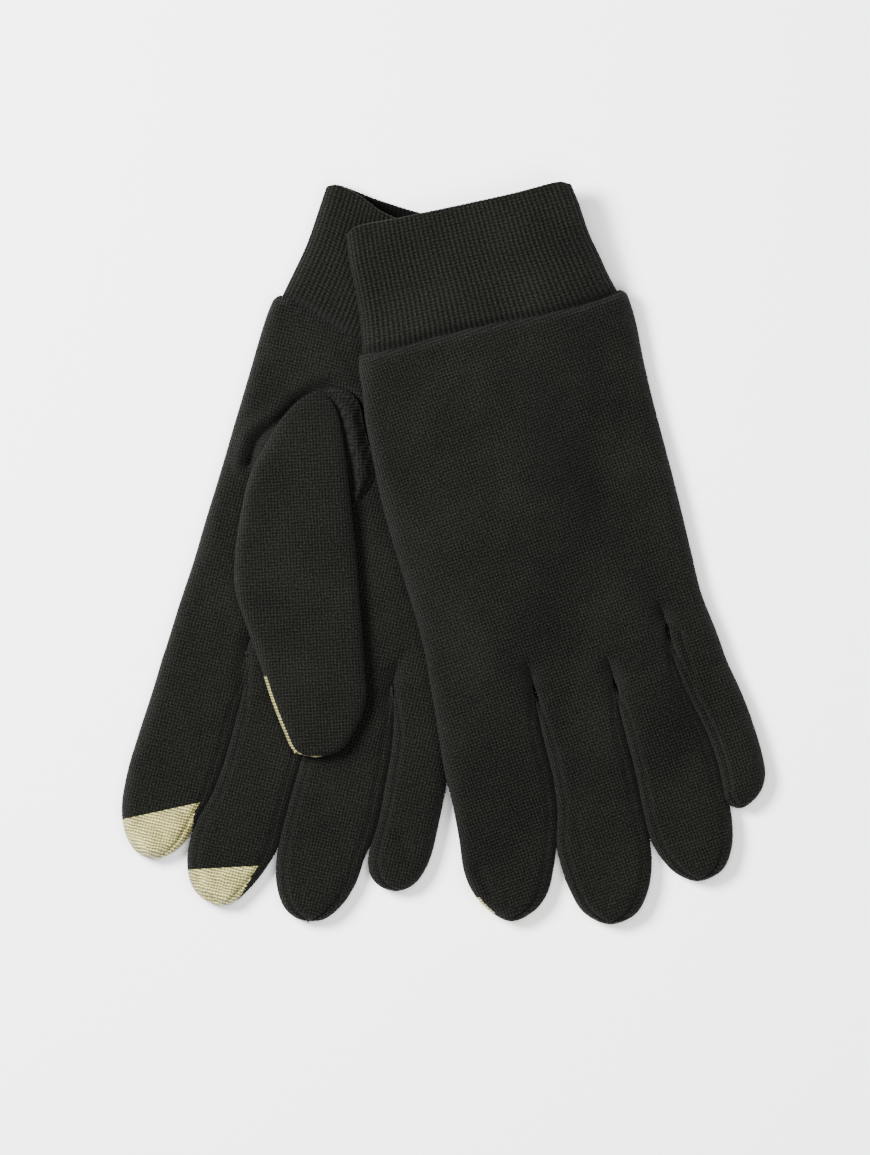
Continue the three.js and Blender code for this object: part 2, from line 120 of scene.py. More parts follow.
# Outlines, in millimetres: left edge x, y, right edge x, y. The first row of a finger lies at its root.
RIGHT = {
    "hand_left": [(-54.4, 86.2), (-56.4, 84.9), (-57.9, 81.5), (-60.8, 72.5), (-65.0, 58.0),
                  (-69.5, 42.8), (-73.9, 27.7), (-79.5, 9.4), (-82.9, -2.3), (-87.9, -17.4)],
    "hand_right": [(30.6, 65.2), (30.4, 61.0), (28.2, 50.0), (24.6, 35.0), (21.5, 23.0), (16.2, 0.0),
                   (12.2, -18.0)],
    "wrist": [(-54.4, 86.2), (-50.5, 84.6), (-42.0, 79.5), (-34.0, 74.6), (-27.7, 71.9), (-10.0, 68.2),
              (8.0, 66.0), (20.0, 65.4), (30.6, 65.2)],
    "crotches": [(-65.4, -31.5), (-41.4, -43.0), (-16.7, -43.0)],
    "wrist_shares": [0.27, 0.52, 0.77],
    "index": [
        (-91.5, -29.0, -65.0, -35.5), (-96.3, -44.5, -68.2, -51.0), (-101.3, -60.0, -72.8, -67.5),
        (-105.4, -74.0, -76.6, -78.6), (-107.1, -86.0, -81.9, -88.0), (-105.4, -95.0, -86.0, -95.6),
        (-101.6, -100.2, -90.6, -100.0), (-96.2, -101.9, -96.0, -101.9),
    ],
    "middle": [
        (-65.0, -36.5, -41.7, -46.0), (-68.3, -53.0, -45.5, -61.5), (-72.2, -67.5, -49.8, -76.0),
        (-76.9, -80.5, -53.0, -88.0), (-82.6, -91.5, -56.0, -98.6), (-85.0, -103.5, -60.6, -106.5),
        (-83.2, -111.8, -65.6, -112.6), (-78.6, -116.2, -70.4, -116.8), (-74.4, -117.5, -74.2, -117.5),
    ],
    "ring": [
        (-41.2, -46.0, -16.8, -47.0), (-44.8, -61.0, -17.4, -64.0), (-48.8, -75.0, -19.9, -78.0),
        (-52.3, -88.0, -22.6, -91.5), (-54.6, -99.0, -26.8, -101.9), (-55.2, -110.0, -29.8, -110.6),
        (-52.8, -118.2, -34.6, -118.0), (-48.6, -121.9, -40.0, -122.2), (-44.5, -122.7, -44.3, -122.7),
    ],
    "pinky": [
        (-16.2, -46.0, 6.6, -45.0), (-16.6, -62.0, 2.6, -62.5), (-18.6, -76.0, 0.9, -77.0),
        (-21.4, -90.0, -1.6, -90.0), (-24.3, -101.0, -4.2, -101.0), (-24.0, -107.2, -6.8, -106.8),
        (-20.8, -111.2, -10.4, -110.9), (-15.5, -112.7, -15.3, -112.7),
    ],
    "creases": [
        ((-62.0, 68.0), (-40.0, 66.0), 0.7, 2.2), ((-34.0, 70.0), (-26.0, 52.0), 0.6, 2.0),
        ((-66.0, -30.0), (-72.0, -24.0), 0.9, 1.6), ((-41.0, -42.0), (-36.0, -33.0), 0.7, 1.6),
        ((-16.7, -42.0), (-13.0, -34.0), 0.8, 1.6), ((-38.0, -92.0), (-30.0, -99.0), 0.5, 1.8),
        ((-90.0, -60.0), (-82.0, -78.0), 0.4, 2.0), ((-14.0, -96.0), (-10.0, -104.0), 0.8, 2.2),
    ],
    "touch": {"index": ((-106.6, -89.0), (-80.6, -81.2)), "middle": ((-84.6, -105.8), (-60.4, -103.2))},
    "hem_near": [(-39.1, 122.0), (-36.5, 122.4), (-29.0, 119.4), (-21.0, 113.6), (-14.0, 110.6),
                 (0.0, 109.4), (18.0, 106.4), (30.0, 103.6), (34.0, 102.4)],
    "hem_far": [(-39.1, 122.0), (-36.0, 122.3), (-22.0, 117.4), (-6.0, 112.6), (10.0, 109.6),
                (24.0, 106.0), (34.0, 103.0)],
    "cuff_left": [(-39.1, 122.0), (-41.6, 114.5), (-45.4, 103.5), (-49.8, 94.0), (-53.6, 86.2)],
    "cuff_right": [(34.0, 102.6), (34.6, 92.0), (32.0, 78.5), (29.6, 66.6)],
}

LEFT = {
    "hand_left": [(-27.9, 66.2), (-28.0, 62.0), (-26.8, 55.0), (-25.7, 44.4), (-23.1, 31.1),
                  (-20.4, 17.7), (-16.7, 4.3), (-12.7, -9.0), (-8.6, -22.4)],
    "hand_right": [(59.2, 88.0), (61.2, 86.9), (62.6, 83.0), (64.4, 76.2), (66.8, 64.0),
                   (69.8, 51.1), (74.2, 34.4), (78.5, 17.7), (82.5, 1.0), (85.9, -13.0)],
    "wrist": [(-27.9, 66.2), (-14.4, 68.9), (2.3, 73.4), (19.0, 77.2), (35.8, 80.4), (52.5, 85.2),
              (59.2, 88.0)],
    "crotches": [(29.8, -42.4), (56.7, -40.8), (74.3, -22.6)],
    "wrist_shares": [0.3, 0.57, 0.8],
    "index": [
        (-5.4, -35.0, 30.2, -46.8), (-2.4, -53.0, 32.3, -59.0), (0.7, -72.5, 36.2, -74.5),
        (3.6, -84.5, 37.8, -86.0), (5.7, -96.0, 37.4, -96.5), (7.2, -106.0, 36.4, -105.4),
        (9.8, -112.6, 34.4, -113.6), (15.2, -119.0, 30.2, -119.4), (22.6, -122.8, 22.8, -122.8),
    ],
    "middle": [
        (30.9, -46.8, 56.9, -44.6), (33.2, -59.0, 59.9, -58.0), (36.9, -74.5, 63.9, -74.0),
        (38.5, -86.0, 66.5, -86.0), (38.3, -96.5, 68.7, -97.0), (39.8, -103.6, 69.2, -104.4),
        (42.8, -112.4, 67.8, -113.6), (47.4, -120.0, 63.9, -120.6), (55.6, -123.8, 55.8, -123.8),
    ],
    "ring": [
        (57.5, -44.6, 75.6, -32.4), (60.7, -58.0, 83.3, -50.0), (64.7, -74.0, 90.5, -66.0),
        (67.2, -86.0, 93.2, -77.0), (69.9, -95.6, 95.9, -88.0), (73.9, -102.4, 96.0, -98.6),
        (78.4, -107.0, 93.2, -105.6), (85.4, -109.4, 85.6, -109.4),
    ],
    "pinky": [
        (74.3, -25.6, 90.7, -25.2), (76.4, -32.4, 94.2, -35.0), (81.2, -46.0, 99.6, -47.0),
        (86.1, -55.5, 103.2, -56.5), (90.6, -66.0, 106.2, -66.5), (93.2, -76.0, 107.4, -74.0),
        (94.4, -82.6, 105.6, -80.0), (99.4, -85.0, 99.6, -85.0),
    ],
    "creases": [
        ((29.7, -42.4), (35.0, -47.5), 1.0, 1.2), ((56.7, -40.0), (61.0, -46.0), 0.9, 1.2),
        ((74.0, -22.0), (79.5, -27.0), 1.2, 1.3), ((79.5, -27.0), (84.6, -44.0), 0.9, 1.1),
        ((42.4, -82.5), (47.5, -99.3), 0.5, 1.3), ((11.5, -105.0), (15.5, -114.5), 1.3, 1.8),
        ((20.0, 10.0), (45.0, 2.0), 0.35, 4.0), ((-12.0, 60.0), (10.0, 52.0), 0.4, 4.0),
    ],
    "touch": {"index": ((8.9, -110.4), (35.6, -110.4)), "middle": ((42.3, -111.0), (68.6, -111.0))},
    "hem_near": [(-32.4, 105.8), (-29.6, 108.0), (-14.0, 111.3), (4.0, 115.0), (24.0, 119.4),
                 (40.0, 123.2), (43.1, 122.6)],
    "hem_far": [(-32.4, 105.8), (-29.6, 107.6), (-14.0, 110.7), (4.0, 114.2), (24.0, 118.6),
                (40.0, 122.4), (43.1, 122.6)],
    "cuff_left": [(-32.4, 105.8), (-31.1, 96.2), (-29.4, 87.9), (-27.8, 77.9), (-27.0, 67.2)],
    "cuff_right": [(43.1, 122.8), (45.4, 117.0), (49.1, 106.3), (52.3, 99.6), (55.1, 93.4),
                   (58.2, 87.6)],
}

# The thumb, seen as it lies folded on the right palm: left edge x, y, right edge x, y.
THUMB = [
    (-43.4, 53.9, -41.0, 53.9), (-48.6, 50.6, -37.4, 51.0), (-52.9, 46.2, -35.2, 46.6),
    (-58.8, 37.4, -33.4, 38.4), (-64.6, 26.0, -32.0, 29.0), (-67.6, 13.0, -30.4, 14.0),
    (-69.5, 0.0, -29.0, 1.0), (-69.5, -12.4, -27.9, -13.0), (-65.8, -24.0, -26.8, -27.0),
    (-61.4, -36.5, -26.0, -39.0), (-57.6, -48.5, -25.7, -49.6), (-53.4, -59.2, -29.0, -58.6),
    (-49.6, -66.4, -34.2, -66.0), (-42.6, -68.4, -42.2, -68.4),
]
THUMB_PATCH_START = ((-59.6, -41.0), (-26.0, -42.0))  # on the left edge and on the right edge
THUMB_AXIS = np.array([0.05, -0.999])
GUSSET_OUTER = [(-40.6, 54.6), (-36.6, 55.4), (-32.4, 54.4), (-28.7, 51.1), (-26.6, 44.4),
                (-25.2, 37.8), (-23.4, 32.6), (-22.5, 27.7), (-24.6, 22.0), (-29.6, 15.4)]
GUSSET_INNER = [(-40.0, 53.8), (-37.6, 51.6), (-36.0, 48.4), (-34.4, 43.4), (-33.4, 38.6),
                (-32.6, 33.0), (-31.9, 28.0), (-31.2, 23.0), (-30.8, 19.0), (-30.3, 15.4)]

# Where the palm puckers around the root of the thumb.
THUMB_ROOT_FOLD = [(-64.5, 30.0), (-62.0, 37.9), (-54.4, 44.8), (-46.8, 52.1), (-38.3, 55.3),
                   (-30.7, 52.7), (-26.9, 47.9), (-25.4, 42.5), (-24.6, 36.0)]

# The left thumb has the same pattern, turned with its glove.
LEFT_THUMB_TURN = math.radians(28)
LEFT_THUMB_FROM = np.array([-50.0, 28.0])
LEFT_THUMB_TO = np.array([0.0, 28.0])

# How the left glove drapes over the right one.
REST_HEIGHT = 10.8
DRAPE_LENGTH = 36.0
THUMB_LIFT = 6.0
THUMB_LINE = np.array([[-5.0, 50.0], [50.0, -45.0]])
THUMB_REACH = 20.0
THUMB_FALL = 22.0


# ---------------------------------------------------------------- curves and fields

def smoothstep(values):
    """Soft rise from 0 to 1 as the values go from 0 to 1."""
    t = np.clip(values, 0, 1)
    return t * t * (3 - 2 * t)


def spline(points, count=400):
    """Catmull-Rom curve through the points, sampled evenly along its length."""
    p = np.asarray(points, float)
    if len(p) == 2:
        return p[0] + np.linspace(0, 1, count)[:, None] * (p[1] - p[0])
    padded = np.vstack([2 * p[0] - p[1], p, 2 * p[-1] - p[-2]])
    knots = np.cumsum(np.r_[0, np.linalg.norm(np.diff(padded, axis=0), axis=1) ** 0.5 + 1e-6])
    samples = []
    for i in range(1, len(padded) - 2):
        t0, t1, t2, t3 = knots[i - 1:i + 3]
        t = np.linspace(t1, t2, 40, endpoint=False)[:, None]
        a1 = (t1 - t) / (t1 - t0) * padded[i - 1] + (t - t0) / (t1 - t0) * padded[i]
        a2 = (t2 - t) / (t2 - t1) * padded[i] + (t - t1) / (t2 - t1) * padded[i + 1]
        a3 = (t3 - t) / (t3 - t2) * padded[i + 1] + (t - t2) / (t3 - t2) * padded[i + 2]
        b1 = (t2 - t) / (t2 - t0) * a1 + (t - t0) / (t2 - t0) * a2
        b2 = (t3 - t) / (t3 - t1) * a2 + (t - t1) / (t3 - t1) * a3
        samples.append((t2 - t) / (t2 - t1) * b1 + (t - t1) / (t2 - t1) * b2)
    return resample(np.vstack(samples + [p[-1:]]), count)


def resample(points, count):
    """The same line with evenly spaced points."""
    length = np.r_[0, np.cumsum(np.linalg.norm(np.diff(points, axis=0), axis=1))]
    wanted = np.linspace(0, length[-1], count)
    return np.stack([np.interp(wanted, length, points[:, k]) for k in range(points.shape[1])], axis=1)


def along(curve, share):
    """Points at shares of the way along a curve with even samples."""
    at = share * (len(curve) - 1)
    return np.stack([np.interp(at, np.arange(len(curve)), curve[:, c]) for c in (0, 1)], axis=-1)


def distance_to(points, curve):
    """Distance from each point to the polyline through the curve's samples."""
    curve = resample(curve, min(len(curve), DISTANCE_SAMPLES))
    a, b = curve[:-1], curve[1:]
    step = b - a
    length = np.maximum((step ** 2).sum(1), 1e-12)
    best = np.full(len(points), np.inf)
    for start in range(0, len(points), 4000):
        block = points[start:start + 4000]
        t = np.clip(((block[:, None] - a) * step).sum(2) / length, 0, 1)
        gap = block[:, None] - (a + t[..., None] * step)
        best[start:start + 4000] = np.sqrt((gap ** 2).sum(2).min(1))
    return best


def round_edge(distance, radius):
    """Height of a rounded edge, 0 at the edge and 1 from one radius in."""
    inner = 1 - np.clip(distance / radius, 0, 1)
    return np.sqrt(np.clip(1 - inner ** 2, 0, 1))


def waves(x, y, seed, wavelengths, count=14):
    """Soft irregular relief between about -1 and 1."""
    rng = np.random.default_rng(seed)
    total = np.zeros_like(x)
    for _ in range(count):
        wavelength = rng.uniform(*wavelengths)
        angle = rng.uniform(0, math.pi)
        phase = rng.uniform(0, 2 * math.pi)
        total += np.sin((x * math.cos(angle) + y * math.sin(angle)) * 2 * math.pi / wavelength + phase)
    return total / math.sqrt(count * 2)


def drape_height(x, y):
    """Height of the left glove's underside above the surface, in millimetres."""
    edge = 6 + (y + 64) * 0.183
    fade = 1 - 0.7 * (1 - smoothstep((y + 125) / 47))
    over_glove = REST_HEIGHT * (1 - smoothstep((x - edge) / DRAPE_LENGTH)) * fade
    start, step = THUMB_LINE[0], THUMB_LINE[1] - THUMB_LINE[0]
    along = np.clip(((x - start[0]) * step[0] + (y - start[1]) * step[1]) / (step @ step), 0, 1)
    distance = np.hypot(x - start[0] - along * step[0], y - start[1] - along * step[1])
    return over_glove + THUMB_LIFT * (1 - smoothstep((distance - THUMB_REACH) / THUMB_FALL))


# ---------------------------------------------------------------- grids of fabric

def columns(width, left_zone, right_zone, radius):
    """Distances from the left edge for each width: a rounded zone, the middle and a rounded zone."""
    share = np.linspace(0, 1, SIDE_COLUMNS + 1)
    left_zone = np.minimum(left_zone, 0.3 * width)
    right_zone = np.minimum(right_zone, 0.3 * width)

    def zone(depth):
        angle = np.arccos(np.clip(1 - depth / radius, -1, 1))
        return radius * (1 - np.cos(angle[:, None] * share))

    middle = np.linspace(0, 1, MIDDLE_COLUMNS + 1)[1:-1]
    span = (width - left_zone - right_zone)[:, None]
    centre = left_zone[:, None] + span * middle
    return np.hstack([zone(left_zone), centre, (width[:, None] - zone(right_zone))[:, ::-1]])


def grid_points(pairs, width, across):
    """Points at those distances from the left edge, and each one's share of the width."""
    part = across / np.maximum(width, 1e-6)[:, None]
    return pairs[:, None, :2] + part[..., None] * (pairs[:, None, 2:] - pairs[:, None, :2]), part


def rows_between(left, right, stops, counts):
    """Pairs of edge points. The stops cut both edges into stretches, each with its own count of rows."""
    left_ends = [0] + [stop[0] for stop in stops] + [len(left) - 1]
    right_ends = [0] + [stop[1] for stop in stops] + [len(right) - 1]
    pairs = []
    for i, count in enumerate(counts):
        left_part = resample(left[left_ends[i]:left_ends[i + 1] + 1], count + 1)
        right_part = resample(right[right_ends[i]:right_ends[i + 1] + 1], count + 1)
        last = i == len(counts) - 1
        pairs.append(np.hstack([left_part, right_part])[: None if last else -1])
    return np.vstack(pairs)


def crossing(curve, point, direction):
    """Index of the curve's first sample past the line that crosses the direction at the point."""
    past = (curve - point) @ direction
    return int(np.argmax(past >= 0))


def nearest(curve, point):
    """Index of the curve's sample nearest to the point."""
    return int(np.argmin(np.linalg.norm(curve - np.asarray(point), axis=1)))


def knit_coordinates(points, height, axis):
    """Millimetres across and along the knit, laid flat over the rounded edges."""
    across = np.array([-axis[1], axis[0]])
    flat = np.hypot(*np.moveaxis(np.diff(points, axis=1), 2, 0))
    rise = np.diff(height, axis=1)
    extra = np.hypot(flat, rise) - flat
    middle = points.shape[1] // 2
    total = np.concatenate([np.zeros((len(points), 1)), np.cumsum(extra, axis=1)], axis=1)
    return np.stack([points @ across + total - total[:, middle:middle + 1], points @ axis], axis=2)


# ---------------------------------------------------------------- one glove, flat

class Glove:
    """Collects the grids of one glove, drawn flat with its palm toward +Z, and each face's piece."""

    def __init__(self, side, spec, joints):
        self.side = side
        self.spec = spec
        self.joints = joints
        self.upper = 1 if side == "right" else -1
        self.wrist = spline(spec["wrist"])
        self.edges = hand_edges(spec)
        self.fingers = [finger_edges(spec, k, self.edges) for k in range(len(FINGERS))]
        self.thumb_thickness = RIGHT_THUMB if side == "right" else LEFT_THUMB
        self.vertices = []
        self.knit = []
        self.faces = []
        self.labels = []
        self.count = 0

    def add(self, points, knit, labels, up):
        """Rows of points, their knit coordinates and each face's piece; up turns the faces to +Z."""
        rows, cols = points.shape[:2]
        base = self.count
        self.vertices.append(points.reshape(-1, 3))
        self.knit.append(knit.reshape(-1, 2))
        self.count += rows * cols
        index = base + np.arange(rows * cols).reshape(rows, cols)
        corners = [index[:-1, :-1], index[1:, :-1], index[1:, 1:], index[:-1, 1:]]
        if not up:
            corners = corners[::-1]
        self.faces.append(np.stack([c.ravel() for c in corners], axis=1))
        self.labels.append(labels)


def fold_line(joints, side, name):
    """A point on a fold line and the direction toward the fingertip, in the flat frame."""
    joint = joints[f"{side}_{name}_fold"]
    point = np.array(joint["pos_m"][:2]) / MM - FRAME_SHIFT
    return point, np.array([-joint["axis"][1], joint["axis"][0]])


def hand_edges(spec):
    """The five lines that bound the four strips of the hand, from the wrist to the finger roots."""
    wrist = spline(spec["wrist"])
    starts = [wrist[int(share * (len(wrist) - 1))] for share in spec["wrist_shares"]]
    inner = [spline([start, crotch]) for start, crotch in zip(starts, spec["crotches"])]
    swell = OUTER_SWELL * smoothstep(np.linspace(0, 12, 400))
    left = swollen(spline(spec["hand_left"] + [spec["index"][0][:2]]), swell, -1)
    right = swollen(spline(spec["hand_right"] + [spec["pinky"][0][2:]]), swell, 1)
    return [left, *inner, right]


def swollen(curve, amounts, side):
    """The curve moved sideways, to its left for a side of 1 and to its right for -1."""
    direction = np.gradient(curve, axis=0)
    direction /= np.linalg.norm(direction, axis=1)[:, None]
    outward = side * np.stack([-direction[:, 1], direction[:, 0]], axis=1)
    return curve + outward * amounts[:, None]


def finger_edges(spec, k, edges):
    """Both edges of a finger from its root to the middle of its tip, rounded through the tip."""
    rows = np.array(spec[FINGERS[k]])
    left = [edges[k][-1]] if k == 0 else [edges[k][-1], rows[0, :2]]
    right = [edges[k + 1][-1]] if k == 3 else [edges[k + 1][-1], rows[0, 2:]]
    tip = (rows[-1, :2] + rows[-1, 2:]) / 2
    outline = spline([*left, *rows[1:-1, :2], tip, *rows[1:-1, 2:][::-1], *right[::-1]], 1400)
    middle = nearest(outline, tip)
    share = np.r_[np.linspace(0, 1, middle), np.linspace(1, 0, len(outline) - middle)]
    inner = np.where(np.arange(len(outline)) < middle, k > 0, k < 3)
    toward_tip = smoothstep((share - 0.7) / 0.3)
    pressed = smoothstep(share / 0.12) * (INNER_SWELL + (OUTER_SWELL - INNER_SWELL) * toward_tip)
    outline = swollen(outline, np.where(inner, pressed, OUTER_SWELL), -1)
    left_edge, right_edge = outline[:middle + 1], outline[middle:][::-1]
    left_edge += fading(left_edge) * (edges[k][-1] - left_edge[0])
    right_edge += fading(right_edge) * (edges[k + 1][-1] - right_edge[0])
    return left_edge, right_edge


def fading(curve):
    """1 at the start of a curve and 0 after its first tenth."""
    return 1 - smoothstep(np.linspace(0, 10, len(curve)))[:, None]


def wrist_bow(glove, k, part):
    """How far the wrist seam leaves the straight line between the ends of a strip's first row."""
    shares = [0, *glove.spec["wrist_shares"], 1]
    seam = along(glove.wrist, shares[k] + (shares[k + 1] - shares[k]) * part)
    start, end = glove.edges[k][0], glove.edges[k + 1][0]
    return seam - (start + part[..., None] * (end - start))


def strip_rows(glove, k):
    """Pairs of edge points of one strip, from the wrist to the fingertip."""
    name = FINGERS[k]
    hand = np.hstack([resample(edge, HAND_ROWS + 1) for edge in glove.edges[k:k + 2]])[:-1]
    left, right = glove.fingers[k]
    point, direction = fold_line(glove.joints, glove.side, name)
    stops = [(crossing(left, point, direction), crossing(right, point, direction))]
    counts = [ROOT_ROWS, FOLD_ROWS + TIP_ROWS]
    if name in glove.spec["touch"]:
        left_start, right_start = glove.spec["touch"][name]
        stops.append((nearest(left, left_start), nearest(right, right_start)))
        counts = [ROOT_ROWS, FOLD_ROWS, TIP_ROWS]
    return np.vstack([hand, rows_between(left, right, stops, counts)])


def strip_points(glove, k):
    """Grid of one strip, distances across it, its widths, and where its side seams run."""
    pairs = strip_rows(glove, k)
    width = np.linalg.norm(pairs[:, 2:] - pairs[:, :2], axis=1)
    past_root = np.arange(len(pairs)) - HAND_ROWS
    hand_zone = HAND_SIDE_ZONE * smoothstep(-past_root / 60)
    finger_zone = (FOURCHETTE_DEPTH - LEAST_SIDE_ZONE) * smoothstep(past_root / 24)
    seam_zone = LEAST_SIDE_ZONE + np.where(past_root < 0, hand_zone, finger_zone)
    edge_zone = np.full(len(pairs), EDGE_SIDE_ZONE)
    left_zone = seam_zone if k > 0 else edge_zone
    right_zone = seam_zone if k < 3 else edge_zone
    across = columns(width, left_zone, right_zone, GLOVE / 2)
    points, part = grid_points(pairs, width, across)
    fade = (1 - np.arange(HAND_ROWS) / HAND_ROWS) ** 2
    points[:HAND_ROWS] += fade[:, None, None] * wrist_bow(glove, k, part[:HAND_ROWS])
    return points, across, width, seam_zone


def strip_height(glove, k, points):
    """Half thickness of the glove at each point of a strip."""
    flat = points.reshape(-1, 2)
    hand = hand_fullness(glove, flat)
    finger = finger_fullness(glove, k, flat)
    past_root = np.arange(points.shape[0]) - HAND_ROWS
    share = np.repeat(smoothstep(past_root / 16), points.shape[1])
    height = (GLOVE / 2 * (hand + share * (finger - hand))).reshape(points.shape[:2])
    height[0 if k == 0 else HAND_ROWS:, 0] = 0
    height[0 if k == 3 else HAND_ROWS:, -1] = 0
    height[-1] = 0
    return height


def hand_fullness(glove, flat):
    """Height of the hand from 0 to 1, rounded at its outline and pinched between the fingers."""
    outer_left = np.vstack([glove.edges[0], glove.fingers[0][0][1:]])
    outer_right = np.vstack([glove.edges[4], glove.fingers[3][1][1:]])
    outline = np.minimum(distance_to(flat, outer_left), distance_to(flat, outer_right))
    fullness = round_edge(outline, GLOVE / 2)
    for crotch, edge in zip(glove.spec["crotches"], glove.edges[1:4]):
        toward_wrist = (edge[0] - edge[-1]) / np.linalg.norm(edge[0] - edge[-1])
        offset = flat - np.array(crotch)
        ahead = offset @ toward_wrist
        beside = np.abs(offset[:, 0] * toward_wrist[1] - offset[:, 1] * toward_wrist[0])
        depth = 1 - smoothstep(np.maximum(ahead, 0) / CROTCH_VALLEY)
        fullness = np.minimum(fullness, 1 - depth * (1 - round_edge(beside, GLOVE / 2)))
    return fullness


def finger_fullness(glove, k, flat):
    """Height of a finger from 0 to 1, rounded at its edges and domed across."""
    left, right = glove.fingers[k]
    near = np.minimum(distance_to(flat, left), distance_to(flat, right))
    return round_edge(near, GLOVE / 2) * (0.88 + 0.12 * round_edge(near, 15))


def detail(glove, points, height, face):
    """Change in height from wrinkles, the wrist seam, dimples at the finger roots and creases."""
    x, y = points[..., 0], points[..., 1]
    flat = points.reshape(-1, 2)
    seed = 11 + 5 * face
    relief = 0.36 * waves(x, y, seed, (16, 48)) + 0.2 * waves(x, y, seed + 1, (6, 14))
    to_wrist = distance_to(flat, glove.wrist).reshape(x.shape)
    relief += 0.3 * np.exp(-to_wrist / 6) * waves(x, y, seed + 2, (3.5, 6.5))
    relief -= 3.6 * np.exp(-(to_wrist / 1.15) ** 2)
    relief += 0.5 * np.exp(-((to_wrist - 5) / 3.0) ** 2)
    for crotch, edge in zip(glove.spec["crotches"], glove.edges[1:4]):
        centre = crotch + DIMPLE_SHIFT * (edge[0] - crotch) / np.linalg.norm(edge[0] - crotch)
        from_centre = (x - centre[0]) ** 2 + (y - centre[1]) ** 2
        relief -= DIMPLE_DEPTH * np.exp(-from_centre / DIMPLE_RADIUS ** 2)
    if face == glove.upper:
        for start, end, depth, width in glove.spec["creases"]:
            line = spline([start, end], 8)
            relief -= depth * np.exp(-(distance_to(flat, line).reshape(x.shape) / width) ** 2)
    if face == 1:
        relief += thumb_root_fold(flat, glove.side).reshape(x.shape)
    return height / (GLOVE / 2) * relief


def thumb_root_fold(flat, side):
    """The palm dips around the root of the thumb and swells just outside the dip."""
    outline = spline(THUMB_ROOT_FOLD)
    if side == "left":
        outline = turned_to_left(outline)
    distance = distance_to(flat, outline)
    swell = 1.3 * np.exp(-((distance - 4.0) / 2.0) ** 2)
    dip = 3.6 * np.exp(-(distance / 1.6) ** 2)
    return swell - dip


def seam_groove(across, width, seam_zone, k):
    """Grooves where the fourchettes are sewn to a finger."""
    groove = np.zeros_like(across)
    for inner, distance in ((k > 0, across), (k < 3, width[:, None] - across)):
        if inner:
            groove -= SEAM_DEPTH * np.exp(-((distance - seam_zone[:, None]) / SEAM_WIDTH) ** 2)
    past_root = np.arange(len(width)) - HAND_ROWS
    return groove * (smoothstep(past_root / 10) * smoothstep((width - 3) / 9))[:, None]


def turned_to_left(points):
    """Points of the thumb's pattern where they lie on the left glove."""
    c, s = math.cos(LEFT_THUMB_TURN), math.sin(LEFT_THUMB_TURN)
    return (points - LEFT_THUMB_FROM) @ np.array([[c, s], [-s, c]]) + LEFT_THUMB_TO


def add_strips(glove):
    """Palm side and back of the hand and the fingers, one strip for each finger."""
    axis = glove_axis(glove.spec)
    for k in range(len(FINGERS)):
        points, across, width, seam_zone = strip_points(glove, k)
        height = strip_height(glove, k, points)
        seam = seam_groove(across, width, seam_zone, k)
        for face in (1, -1):
            relief = detail(glove, points, height, face) + seam
            most = GLOVE if face == glove.upper else GLOVE / 2
            z = face * np.where(height < 1e-6, 0, np.clip(height + relief, 0, most))
            knit = knit_coordinates(points, z, axis)
            labels = strip_labels(glove, k, face, points.shape[0] - 1, points.shape[1] - 1)
            glove.add(np.dstack([points, z]), knit, labels, up=face == 1)


def strip_labels(glove, k, face, rows, cols):
    """The piece that each face of a strip belongs to."""
    name = FINGERS[k]
    panel, finger = ("hand_palm", f"{name}_palm_side") if face == 1 else ("hand_back", f"{name}_back")
    labels = np.full((rows, cols), panel, dtype=object)
    fold = HAND_ROWS + ROOT_ROWS
    labels[fold:] = finger
    lone = name in ("index", "pinky")
    left_strip = f"{name}_fourchette" if lone else f"{name}_left_fourchette"
    right_strip = f"{name}_fourchette" if lone else f"{name}_right_fourchette"
    if k > 0:
        labels[HAND_ROWS:, :SIDE_COLUMNS] = left_strip
    if k < 3:
        labels[HAND_ROWS:, cols - SIDE_COLUMNS:] = right_strip
    touch = fold + FOLD_ROWS
    if name in glove.spec["touch"] and face == 1:
        for row in range(touch, rows):
            past = (row - touch) / FOURCHETTE_TIP_ROWS[name]
            beside = round(SIDE_COLUMNS * max(0, 1 - past ** 2))
            labels[row, :cols - beside] = f"{name}_touch_tip"
    if glove.side == "left" and name == "index" and face == -1:
        labels[touch:][SLIVER_ROWS, :SLIVER_COLUMNS] = "index_touch_tip"
    return labels


def glove_axis(spec):
    """Direction of the knit's rows of stitches, from the wrist toward the fingers."""
    wrist = np.array(spec["wrist"])
    middle = np.array(spec["crotches"][1])
    axis = middle - (wrist[0] + wrist[-1]) / 2
    return axis / np.linalg.norm(axis)


def thumb_grid(joints, radius):
    """Grid of the thumb on the right palm, and each point's distance from its outline and its root."""
    outline = np.array(THUMB)
    tip = (outline[-1, :2] + outline[-1, 2:]) / 2
    left = spline([*outline[:-1, :2], tip], 700)
    right = spline([*outline[:-1, 2:], tip], 700)
    point, direction = fold_line(joints, "right", "thumb")
    stops = [(crossing(left, point, direction), crossing(right, point, direction)),
             (nearest(left, THUMB_PATCH_START[0]), nearest(right, THUMB_PATCH_START[1]))]
    pairs = rows_between(left, right, stops, THUMB_ROWS)
    width = np.linalg.norm(pairs[:, 2:] - pairs[:, :2], axis=1)
    zone = np.full(len(pairs), 0.9 * radius)
    points, _ = grid_points(pairs, width, columns(width, zone, zone, radius))
    flat = points.reshape(-1, 2)
    from_root = distance_to(flat, spline([pairs[0, :2], pairs[0, 2:]], 20))
    near = np.minimum(np.minimum(distance_to(flat, left), distance_to(flat, right)), from_root)
    return points, near.reshape(points.shape[:2]), from_root.reshape(points.shape[:2])


